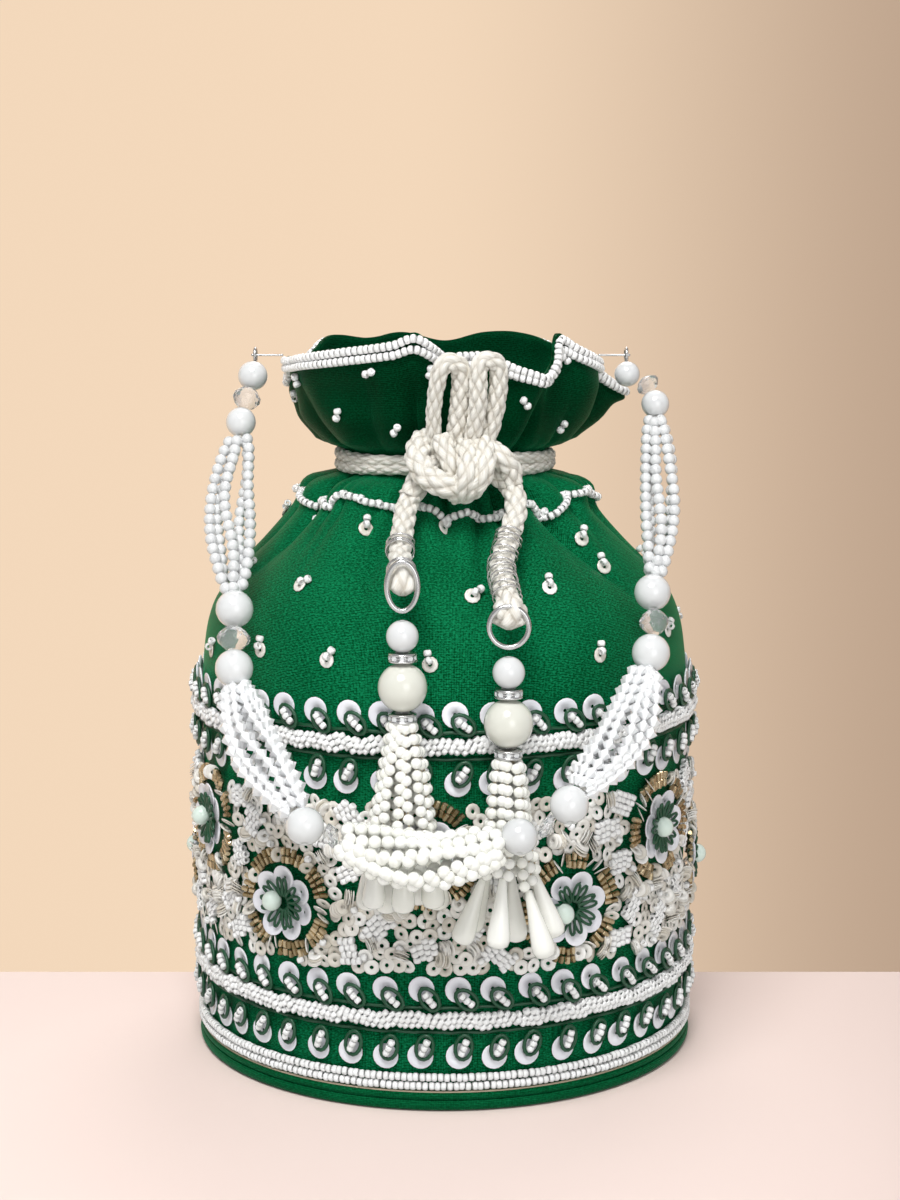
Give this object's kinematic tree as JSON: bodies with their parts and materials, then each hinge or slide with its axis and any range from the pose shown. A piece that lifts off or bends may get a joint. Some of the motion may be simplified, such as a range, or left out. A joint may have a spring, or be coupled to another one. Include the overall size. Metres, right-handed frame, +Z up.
{
  "type": "potli bag",
  "caption": "Round drawstring pouch of gathered silk on a stiff beaded drum, with a bead-strung wrist handle and two tassels on the cord ends.",
  "frame": {"origin": "centre of the round underside, on the surface the bag stands on", "axes": "+Z up along the bag's axis, -Y towards the front with the bow and tassels, +X to the right seen from the front"},
  "size_m": [0.1456, 0.1696, 0.2018],
  "materials": {
    "silk": "raw silk with a soft sheen",
    "dark_silk": "satin lining",
    "board": "bare board",
    "seed_bead": "opaque glossy glass",
    "sequin": "glossy",
    "floral": "glossy beads, sequins and gold tubes",
    "cream_cord": "braided silk",
    "pearl": "pearl lustre",
    "ivory_pearl": "pearl lustre",
    "crystal": "clear and cut",
    "silver": "polished"
  },
  "bodies": {
    "bag": {"base_cover": "silk", "base_board": "board", "base_rim": "silk", "wall_stiffener": "board", "lining": "dark_silk", "silk_shell": "silk", "bottom_bead_rows": "seed_bead", "hem_disc_row": "sequin", "hem_bead_rope": "seed_bead", "rising_disc_row": "sequin", "falling_disc_row": "sequin", "top_bead_rope": "seed_bead", "crown_disc_row": "sequin", "floral_field": "floral", "shoulder_bead_line": "seed_bead", "rim_bead_rows": "seed_bead", "neck_cord": "cream_cord", "bow_knot": "cream_cord", "bow_loop_left": "cream_cord", "bow_loop_right": "cream_cord", "tail_left": "cream_cord", "tail_right": "cream_cord", "end_ring_left": "silver", "end_ring_right": "silver", "handle_pin_left": "silver", "handle_pin_right": "silver"},
    "handle": {"handle_loop_left": "silver", "handle_loop_right": "silver", "handle_pearl_left_1": "pearl", "handle_crystal_left_2": "crystal", "handle_pearl_left_3": "pearl", "handle_pearl_left_4": "pearl", "handle_crystal_left_5": "crystal", "handle_pearl_left_6": "pearl", "handle_pearl_left_7": "pearl", "handle_crystal_left_8": "crystal", "handle_pearl_right_8": "pearl", "handle_crystal_right_7": "crystal", "handle_pearl_right_6": "pearl", "handle_pearl_right_5": "pearl", "handle_crystal_right_4": "crystal", "handle_pearl_right_3": "pearl", "handle_pearl_right_2": "pearl", "handle_crystal_right_1": "crystal", "handle_pearl_right_0": "pearl", "handle_strands_left": "pearl", "handle_strands_right": "pearl", "handle_strands_centre": "pearl", "handle_crystals_left": "crystal", "handle_crystals_right": "crystal"},
    "tassel_left": {"tassel_left_eye": "silver", "tassel_left_small_pearl": "pearl", "tassel_left_large_pearl": "ivory_pearl", "tassel_left_stones": "silver", "tassel_left_fringe": "ivory_pearl"},
    "tassel_right": {"tassel_right_eye": "silver", "tassel_right_small_pearl": "pearl", "tassel_right_large_pearl": "ivory_pearl", "tassel_right_stones": "silver", "tassel_right_fringe": "ivory_pearl"}
  },
  "joints": [
    {"name": "handle_swing", "type": "hinge", "parent": "bag", "child": "handle", "pos_m": [0, -0.002, 0.195], "axis": [-1, 0, 0], "range_deg": [0, 250]},
    {"name": "tassel_left_sway", "type": "hinge", "parent": "bag", "child": "tassel_left", "pos_m": [-0.0104, -0.076, 0.1336], "axis": [0, 1, 0], "range_deg": [-3, 15]},
    {"name": "tassel_right_sway", "type": "hinge", "parent": "bag", "child": "tassel_right", "pos_m": [0.0164, -0.0762, 0.1244], "axis": [0, 1, 0], "range_deg": [-15, 3]}
  ]
}
